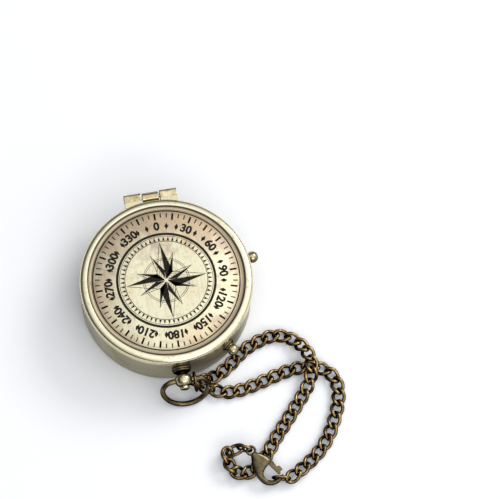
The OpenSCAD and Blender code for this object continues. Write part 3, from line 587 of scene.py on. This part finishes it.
def wall_metal(f):
    """Satin olive brass, brushed round the case, with soft cloudy stains."""
    mat, tree, bsdf = shader("case brass")
    cloud = noise(tree, 42.0, 5.0, 0.6, distortion=0.8)
    colour = mix(tree, spread(tree, cloud, 0.0, 1.0, 0.36, 0.66), tuple(f.wall), (0.25, 0.215, 0.12))
    tree.links.new(colour, bsdf.inputs["Base Color"])
    bsdf.inputs["Metallic"].default_value = 1.0
    brush = noise(tree, 900.0, 3.0, 0.7, stretch=(0.25, 0.25, 6.0))
    tree.links.new(spread(tree, brush, 0.33, 0.47), bsdf.inputs["Roughness"])
    bumped(tree, bsdf, brush, 2e-5)
    return mat


def chain_metal(f):
    """Dark bronze turned gold in worn patches by noise and, as a painted highlight, on its upper side, with
    painted shade on its sides and below; more coppery near the case.
    """
    mat, tree, bsdf = shader("chain bronze")
    # painted highlight: faces turned up get the bright gold, mixed with noise patches of real wear
    up = along(tree, add(tree, "TexCoord").outputs["Normal"], (0.15, 0.1, 1.0))
    patch = noise(tree, 260.0, 5.0, 0.65)
    fine = noise(tree, 2400.0, 4.0, 0.6)
    both = add(tree, "Math", {0: up, 1: 0.45, 2: patch}, operation="MULTIPLY_ADD").outputs[0]
    wear_and_top_light = spread(tree, both, 0.0, 0.95, 0.68, 1.14)
    near = along(tree, add(tree, "TexCoord").outputs["Object"], (-4.0, 4.0, 0.0))
    drift = total(tree, noise(tree, 75.0, 3.0, 0.5), near)
    copper = spread(tree, drift, 0.0, 0.85, 0.05, 0.45)
    worn = mix(tree, copper, tuple(f.chain_worn_and_lit), (0.40, 0.225, 0.105))
    colour = mix(tree, wear_and_top_light, tuple(f.chain_dark), worn)
    # painted shade on the sides and below
    painted_side_shade(tree, bsdf, colour, tuple(0.4 * c for c in f.chain_dark), 0.85)
    bsdf.inputs["Metallic"].default_value = 1.0
    tree.links.new(spread(tree, fine, 0.18, 0.34), bsdf.inputs["Roughness"])
    bumped(tree, bsdf, fine, 4e-5)
    return mat


def plain(name, colour, rough, vary=0.12, scale=300.0, transmission=0.0, shine=0.5):
    """A quiet finish with a slight drift of tone and roughness."""
    mat, tree, bsdf = shader(name)
    drift = noise(tree, scale, 4.0, 0.55)
    dark = tuple(c * (1 - 2 * vary) for c in colour)
    tree.links.new(mix(tree, drift, colour, dark), bsdf.inputs["Base Color"])
    bsdf.inputs["Specular IOR Level"].default_value = shine
    tree.links.new(spread(tree, drift, rough * 0.85, rough * 1.15), bsdf.inputs["Roughness"])
    if transmission:
        bsdf.inputs["Transmission Weight"].default_value = transmission
        bsdf.inputs["IOR"].default_value = 1.5
    return mat


FINISH = {}


def make_finishes(f):
    """Every finish of the compass, by a plain name.

    A metal has two tones, its range of roughness, its patches per metre and its relief.
    """
    FINISH.update(
        bezel=bezel_metal(f), plate=plate_metal(f), wall=wall_metal(f), chain=chain_metal(f),
        clasp=metal("clasp bronze", (0.175, 0.138, 0.077), (0.035, 0.025, 0.013), (0.10, 0.20), 170.0, 5e-6),
        bow=metal("bow bronze", (0.25, 0.187, 0.093), (0.03, 0.02, 0.01), (0.10, 0.20), 130.0, 1e-5),
        brass=metal("knob brass", (0.76, 0.69, 0.47), (0.22, 0.17, 0.085), (0.07, 0.18), 150.0, 1e-5),
        hinge=metal("hinge brass", (0.76, 0.68, 0.45), (0.36, 0.27, 0.14), (0.14, 0.28), 230.0, 1e-5),
        dull=metal("dull brass", (0.26, 0.21, 0.13), (0.10, 0.08, 0.05), (0.24, 0.38), 160.0),
        inner=metal("inner brass", (0.66, 0.56, 0.34), (0.48, 0.39, 0.22), (0.20, 0.32), 120.0, worn=False),
        liner=metal("liner brass", (0.76, 0.66, 0.42), (0.52, 0.42, 0.24), (0.30, 0.42), 60.0, 1e-5, False),
        steel=metal("steel", (0.56, 0.56, 0.57), (0.40, 0.40, 0.41), (0.22, 0.36), 200.0, worn=False),
        blued=metal("blued steel", (0.045, 0.07, 0.19), (0.02, 0.03, 0.10), (0.20, 0.30), 200.0, worn=False),
        black=plain("engraving black", tuple(f.black), 0.7, shine=0.15),
        dial=plain("dial enamel", (0.84, 0.81, 0.71), 0.45, vary=0.06, scale=80.0),
        print=plain("dial print", (0.02, 0.022, 0.03), 0.55),
        red=plain("dial red", (0.45, 0.03, 0.03), 0.5),
        gasket=plain("gasket", (0.02, 0.02, 0.02), 0.7),
        glass=plain("crystal", (0.97, 0.99, 0.99), 0.02, vary=0.005, transmission=1.0),
        jewel=plain("jewel", (0.40, 0.02, 0.05), 0.12),
    )


# ---------------------------------------------------------------- engraving

# how far printed and engraved marks reach into their plate and stand proud of it
SUNK, PROUD = 0.05, 0.012
# stars: radius of their heart, and widths of the outline and of the shading lines
HEART, OUTLINE, SHADING = 0.6, 0.22, 0.1


def stroke(points, width, z0, z1):
    """A line of constant width along points (x, y), as a raised strip."""
    p = np.array(points, float)
    d = np.gradient(p, axis=0)
    d /= np.linalg.norm(d, axis=1, keepdims=True)
    side = np.column_stack([-d[:, 1], d[:, 0]]) * width / 2
    return prism(np.concatenate([p - side, (p + side)[::-1]]), z0, z1)


def ring_line(r, width, z0, z1):
    """A thin flat ring at radius r."""
    low, high = r - width / 2, r + width / 2
    return revolve([(low, z0), (high, z0), (high, z1), (low, z1)], 240)


def ticks(count, r0, r1, width, z0, z1):
    """Radial marks from r0 to r1."""
    out = []
    for i in range(count):
        a = 2 * math.pi * i / count
        c, s = math.cos(a), math.sin(a)
        out.append(stroke([(r0 * c, r0 * s), (r1 * c, r1 * s)], width, z0, z1))
    return out


def star(points, r_out, r_in, turn, z0, z1):
    """A star with tips at r_out and waists at r_in: each point is dark on one side and ruled on the other."""
    out = []
    for i in range(points):
        a = math.radians(turn) + 2 * math.pi * i / points
        b = math.pi / points
        tip = (r_out * math.cos(a), r_out * math.sin(a))
        left = (r_in * math.cos(a + b), r_in * math.sin(a + b))
        right = (r_in * math.cos(a - b), r_in * math.sin(a - b))
        heart = (HEART * math.cos(a), HEART * math.sin(a))
        out.append(prism([heart, right, tip], z0, z1))
        out.append(stroke([left, tip], OUTLINE, z0, z1))
        for k in (0.25, 0.5, 0.75):
            foot = (left[0] * k, left[1] * k)
            reach = (tip[0] * (0.25 + 0.6 * k), tip[1] * (0.25 + 0.6 * k))
            out.append(stroke([foot, reach], SHADING, z0, z1))
    return out


def round_ring(count, shape, z0, z1, skip=None):
    """A flat shape set count times round the axis, left out at each skip-th place."""
    out = []
    for i in range(count):
        if skip and i % skip == 0:
            continue
        a = 2 * math.pi * i / count
        c, s = math.cos(a), math.sin(a)
        out.append(prism([(x * c - y * s, x * s + y * c) for x, y in shape], z0, z1))
    return out


def numbers(count, step, r, height, z0, z1, bold):
    """Plain numbers round a ring, standing outward, as closed meshes."""
    out = []
    for i in range(count):
        curve = bpy.data.curves.new("number", "FONT")
        curve.body = str(i * step)
        curve.size, curve.align_x, curve.align_y = height, "CENTER", "CENTER"
        curve.offset, curve.extrude, curve.resolution_u = bold, (z1 - z0) / 2, 4
        obj = bpy.data.objects.new("number", curve)
        bpy.context.scene.collection.objects.link(obj)
        bpy.context.view_layer.update()
        shown = obj.evaluated_get(bpy.context.evaluated_depsgraph_get())
        mesh = bpy.data.meshes.new_from_object(shown)
        co = np.zeros(len(mesh.vertices) * 3)
        mesh.vertices.foreach_get("co", co)
        a = math.radians(90 - i * 360 / count)
        c, s = math.cos(a - math.pi / 2), math.sin(a - math.pi / 2)
        x, y, z = co.reshape(-1, 3).T
        v = np.column_stack([
            x * c - y * s + r * math.cos(a),
            x * s + y * c + r * math.sin(a),
            z + (z0 + z1) / 2])
        out.append((v, [list(p.vertices) for p in mesh.polygons]))
        bpy.data.objects.remove(obj)
        bpy.data.curves.remove(curve)
        bpy.data.meshes.remove(mesh)
    return out


# ---------------------------------------------------------------- operators


class COMPASS_OT_lid(bpy.types.Operator):
    """Lid rim with its bezel, the patina plate and its engraved degree ring and star"""
    bl_idname = "compass.lid"
    bl_label = "Lid"

    def execute(self, context):
        s = context.scene.compass_sizes
        top, low, r, p, face = s.lid_top, s.lid_low, s.lid_radius, s.plate_radius, s.plate_top
        deck, seat = 23.2, 24.0
        profile = [(p - 1.1, deck), (p - 1.1, seat), (p + 0.05, seat), (p + 0.05, face)]
        profile += [(p + 0.3, face + 0.04), (p + 1.4, face + 0.12), (p + 1.58, face + 0.2)]
        profile += oval_arc(r - 2.5, top - 0.25, 0.9, 0.25, 162, 102, 6)
        profile += oval_arc(r - 2.5, top - 1.9, 2.5, 1.9, 90, 0, 16)
        profile += [(r, low + 0.35), (r - 0.1, low + 0.1), (r - 0.35, low), (r - 1.4, low), (r - 1.4, deck)]
        half = [(11.6, 34.0), (11.6, 37.6), (11.2, 38.0), (4.2, 38.0), (4.2, 36.9)]
        flange = prism(half + [(-x, y) for x, y in half[::-1]], top - 1.8, top - 0.9)
        bezel = [revolve(profile, 360), flange]
        piece("lid_bezel", bezel, "lid", FINISH["bezel"], ["lid_rim"])
        disc = [(0.001, face), (p * 0.5, face), (p - 0.12, face), (p, face - 0.08), (p, seat), (0.001, seat)]
        plate = [revolve(disc, 256)]
        piece("lid_patina_plate", plate, "lid", FINISH["plate"], ["lid_plate"])

        flat, n = (face - SUNK, face + PROUD), s.line_radius
        diamond = [(n - 8.6, 0), (n - 7.0, -0.85), (n - 5.4, 0), (n - 7.0, 0.85)]
        dart = [(n - 13.6, -0.55), (n - 11.7, 0), (n - 13.6, 0.55)]
        lines = [(n, 0.55), (n - 10.6, 1.1), (n - 11.6, 0.2), (n - 13.9, 0.3), (9.4, 0.2), (10.1, 0.2)]
        marks = [ring_line(at, width, *flat) for at, width in lines]
        marks += ticks(72, n - 3.0, n - 1.0, 0.5, *flat) + ticks(24, n - 4.0, n - 1.0, 0.85, *flat)
        marks += numbers(12, 30, n - 7.0, 5.0, *flat, 0.22)
        marks += round_ring(36, diamond, *flat, skip=3) + round_ring(60, dart, *flat)
        marks += star(8, 13.0, 4.6, 22.5, *flat) + star(4, 17.4, 5.0, 0, *flat)
        piece("lid_engraving", marks, "lid", FINISH["black"], outward=False)
        softened("lid_hinge_lugs", FINISH["hinge"], "lid", 0.25)
        softened("lid_liner", FINISH["liner"], "lid", 0.0)
        softened("lid_strike", FINISH["steel"], "lid", 0.05)
        return {"FINISHED"}


class COMPASS_OT_case(bpy.types.Operator):
    """Case bowl, hinge knuckle, pin and screws"""
    bl_idname = "compass.case"
    bl_label = "Case"

    def execute(self, context):
        softened("case_bowl", FINISH["wall"], "case", 0.12)
        softened("case_hinge_knuckle", FINISH["hinge"], "case", 0.15)
        softened("hinge_pin", FINISH["steel"], "case", 0.2)
        softened("hinge_screws", FINISH["dull"], "case", 0.1)
        softened("seat_ring", FINISH["dull"], "case", 0.05)
        softened("latch_post", FINISH["steel"], "case", 0.05)
        softened("latch_leaf", FINISH["steel"], "latch", 0.05)
        softened("detent_spring", FINISH["steel"], "case", 0.05)
        return {"FINISHED"}


class COMPASS_OT_dial(bpy.types.Operator):
    """Dial with its printed degree ring, glass, rings, pivot and needle"""
    bl_idname = "compass.dial"
    bl_label = "Dial and needle"

    def execute(self, context):
        s = context.scene.compass_sizes
        face, r = s.dial_top, 31.2
        flat, above = (face - SUNK, face + PROUD), (face - SUNK, face + PROUD + 0.01)
        card = revolve([(2.3, face), (33.1, face), (33.2, face - 0.1), (33.2, 16.0), (2.3, 16.0)], 256)
        piece("dial_face", [card], "case", FINISH["dial"], ["dial_card"])
        marks = [ring_line(r, 0.25, *flat), ring_line(r - 3.6, 0.12, *flat), ring_line(r - 9.6, 0.3, *flat)]
        marks += ticks(180, r - 1.5, r, 0.16, *flat) + ticks(36, r - 2.8, r, 0.35, *flat)
        marks += numbers(12, 30, r - 6.4, 3.8, *flat, 0.12) + star(8, 15.0, 4.6, 22.5, *flat)
        piece("dial_print", marks, "case", FINISH["print"], outward=False)
        piece("dial_star", star(4, 21.0, 5.2, 0, *above), "case", FINISH["red"], outward=False)
        softened("chapter_ring", FINISH["inner"], "case", 0.1)
        softened("bezel_ring", FINISH["inner"], "case", 0.05)
        softened("glass_gasket", FINISH["gasket"], "case", 0.05)
        softened("glass_crystal", FINISH["glass"], "case", 0.0)
        softened("pivot_post", FINISH["steel"], "case", 0.0)
        softened("needle_hub", FINISH["inner"], "needle", 0.05)
        softened("needle_blade", FINISH["blued"], "needle", 0.04)
        softened("needle_jewel", FINISH["jewel"], "needle", 0.0)
        softened("needle_lifter", FINISH["inner"], "lifter", 0.05)
        return {"FINISHED"}


class COMPASS_OT_pendant(bpy.types.Operator):
    """Pendant collar, crown, bow and the two side knobs"""
    bl_idname = "compass.pendant"
    bl_label = "Pendant and knobs"

    def execute(self, context):
        softened("pendant_collar", FINISH["dull"], "case", 0.0)
        softened("crown_knob", FINISH["brass"], "crown", 0.06)
        softened("crown_clip", FINISH["steel"], "crown", 0.05)
        softened("bow", FINISH["bow"], "bow", 0.0, crease=50)
        softened("lock_bush", FINISH["dull"], "case", 0.1)
        softened("lock_slide", FINISH["steel"], "lock", 0.05)
        softened("lock_knob", FINISH["brass"], "lock", 0.1)
        softened("anchor_stud", FINISH["brass"], "case", 0.1)
        return {"FINISHED"}


def chain_piece(name, rings, node, finish="chain"):
    """Closed rings of wire that ride with the chain, smooth all over."""
    piece(name, rings, "chain", FINISH[finish], [node], outward=False, crease=180)


class COMPASS_OT_chain(bpy.types.Operator):
    """Curb chain in its stretches, with its rings and joining links"""
    bl_idname = "compass.chain"
    bl_label = "Chain"

    def execute(self, context):
        s = context.scene.compass_sizes
        for node, (route, first, last) in CURB_NODES.items():
            p = chain_joints(route, s.link_pitch)
            pairs = list(zip(p[:-1], p[1:]))[first:last]
            rolls = TAIL_ROLL if node == "chain_tail" else [0] * len(pairs)
            size = s.link_length, s.link_width, s.link_twist, s.wire_radius
            curbs = [link_ring(link_axes((a + b) / 2, b - a, roll), *size)
                for (a, b), roll in zip(pairs, rolls)]
            chain_piece(node + "_links", curbs, node)

        wire, ring = s.join_radius, (RING_RADIUS, RING_RADIUS, 0)
        joins = [link_ring(heading(*place), JOIN_LENGTH, JOIN_WIDTH, 0, wire) for place in CONNECTORS]
        chain_piece("bow_connector_links", joins, "bow_connectors")
        bow_ring = link_ring(heading(*BOW_RING), *ring, wire, RING_STEPS)
        chain_piece("bow_split_ring", [bow_ring], "bow_ring")
        jump_ring = link_ring(heading(*JUMP_RING), *ring, s.wire_radius, RING_STEPS)
        chain_piece("tail_jump_ring", [jump_ring], "jump_ring", "bow")
        clasp_link = link_ring(heading(*CLASP_CONNECTOR), CLASP_LINK_LENGTH, JOIN_WIDTH, 0, wire)
        chain_piece("clasp_connector_link", [clasp_link], "clasp_connector")
        verts, faces = link_ring(heading(*HOOK_LINK), HOOK_LINK_LENGTH, JOIN_WIDTH, 0, wire)
        chain_piece("clasp_hook_link", [(at_clasp(verts), faces)], "hook_link")
        return {"FINISHED"}


class COMPASS_OT_clasp(bpy.types.Operator):
    """Clasp body, lever, pin and spring"""
    bl_idname = "compass.clasp"
    bl_label = "Clasp"

    def execute(self, context):
        parts = [(at_clasp(verts), faces) for verts, faces in (clasp_form(), clasp_eye())]
        piece("clasp_shell", parts, "chain", FINISH["clasp"], ["clasp_body"], crease=50)
        softened("clasp_lever", FINISH["clasp"], "lever", 0.2)
        softened("clasp_pin", FINISH["clasp"], "chain", 0.05)
        softened("clasp_spring", FINISH["steel"], "chain", 0.0)
        return {"FINISHED"}


def lamp(name, where, size, power, colour):
    """A rectangular area light that aims at the compass. Metres and watts."""
    light = bpy.data.lights.new(name, "AREA")
    light.shape, light.size, light.size_y = "RECTANGLE", *size
    light.energy, light.color = power, colour
    obj = bpy.data.objects.new(name, light)
    obj.location = where
    aim = Vector((0.02, -0.02, 0.0))
    obj.rotation_euler = (aim - Vector(where)).to_track_quat("-Z", "Y").to_euler()
    bpy.context.scene.collection.objects.link(obj)


class COMPASS_OT_studio(bpy.types.Operator):
    """Camera at the fitted view, pale floor and soft lights"""
    bl_idname = "compass.studio"
    bl_label = "Studio"

    def execute(self, context):
        s = context.scene.compass_studio
        a, e, r = (math.radians(x) for x in (s.azimuth, s.elevation, s.roll))
        back = Vector((math.sin(a) * math.cos(e), -math.cos(a) * math.cos(e), math.sin(e)))
        right = Vector((math.cos(a), math.sin(a), 0.0))
        up = back.cross(right)
        right, up = math.cos(r) * right + math.sin(r) * up, math.cos(r) * up - math.sin(r) * right
        aim = Vector((40.33, 16.06, 0.0))
        place = (aim + back * s.distance) * MM
        data = bpy.data.cameras.new("photo camera")
        data.lens, data.sensor_width, data.sensor_fit = s.lens, 36.0, "HORIZONTAL"
        data.clip_start, data.clip_end = 0.05, 20.0
        camera = bpy.data.objects.new("photo_camera", data)
        turn = Matrix((right, up, back)).transposed()
        camera.matrix_world = Matrix.Translation(place) @ turn.to_4x4()
        context.scene.collection.objects.link(camera)
        context.scene.camera = camera

        mat, tree, bsdf = shader("floor paper")
        paper = mix(tree, noise(tree, 8.0), (0.93, 0.935, 0.95), (0.92, 0.925, 0.94))
        tree.links.new(paper, bsdf.inputs["Base Color"])
        bsdf.inputs["Roughness"].default_value = 0.6
        half = 6000
        corners = [(-half, -half), (half, -half), (half, half), (-half, half)]
        verts, faces = prism(corners, -4.0, -0.02)
        mesh = bpy.data.meshes.new("floor")
        mesh.from_pydata((verts * MM).tolist(), [], faces)
        mesh.materials.append(mat)
        floor = bpy.data.objects.new("floor", mesh)
        context.scene.collection.objects.link(floor)

        world = bpy.data.worlds.new("studio")
        context.scene.world = world
        world.use_nodes = True
        tree = world.node_tree
        tree.nodes.clear()
        out = tree.nodes.new("ShaderNodeOutputWorld")
        lit = along(tree, add(tree, "TexCoord").outputs["Generated"], (0.36, -0.20, 0.91))
        level = spread(tree, lit, 0.08 * s.world_level, s.world_level, 0.25, 1.0)
        soft = add(tree, "Background", {"Color": (0.96, 0.975, 1.0, 1.0), "Strength": level})
        tree.links.new(soft.outputs[0], out.inputs["Surface"])

        lamp("key", (0.95, 0.5, 0.85), (0.7, 0.5), s.key_power, (1.0, 0.985, 0.96))
        lamp("front", (0.2, -0.95, 0.75), (0.7, 0.3), s.key_power * 0.3, (0.97, 0.985, 1.0))
        context.scene.view_settings.view_transform = "Standard"
        return {"FINISHED"}


class COMPASS_PT_panel(bpy.types.Panel):
    """Lists the steps that build the compass"""
    bl_label = "Pocket compass"
    bl_idname = "COMPASS_PT_panel"
    bl_space_type = "VIEW_3D"
    bl_region_type = "UI"
    bl_category = "Compass"

    def draw(self, context):
        for step in STEPS:
            self.layout.operator(step.bl_idname)
        scene = context.scene
        for group in (scene.compass_sizes, scene.compass_finishes, scene.compass_studio):
            column = self.layout.column()
            for key in group.bl_rna.properties.keys():
                if key not in ("rna_type", "name"):
                    column.prop(group, key)


STEPS = (COMPASS_OT_studio, COMPASS_OT_case, COMPASS_OT_lid, COMPASS_OT_dial, COMPASS_OT_pendant,
    COMPASS_OT_chain, COMPASS_OT_clasp)
CLASSES = (CompassSizes, CompassFinishes, CompassStudio, *STEPS, COMPASS_PT_panel)


def register():
    """Adds the classes and hangs their settings on the scene."""
    for c in CLASSES:
        bpy.utils.register_class(c)
    bpy.types.Scene.compass_sizes = bpy.props.PointerProperty(type=CompassSizes)
    bpy.types.Scene.compass_finishes = bpy.props.PointerProperty(type=CompassFinishes)
    bpy.types.Scene.compass_studio = bpy.props.PointerProperty(type=CompassStudio)


def unregister():
    """Takes the settings and the classes away again."""
    del bpy.types.Scene.compass_studio
    del bpy.types.Scene.compass_finishes
    del bpy.types.Scene.compass_sizes
    for c in reversed(CLASSES):
        bpy.utils.unregister_class(c)


def main():
    """Registers the add-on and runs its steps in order."""
    register()
    make_finishes(bpy.context.scene.compass_finishes)
    for step in STEPS:
        group, name = step.bl_idname.split(".")
        getattr(getattr(bpy.ops, group), name)()


if __name__ == "__main__":
    main()
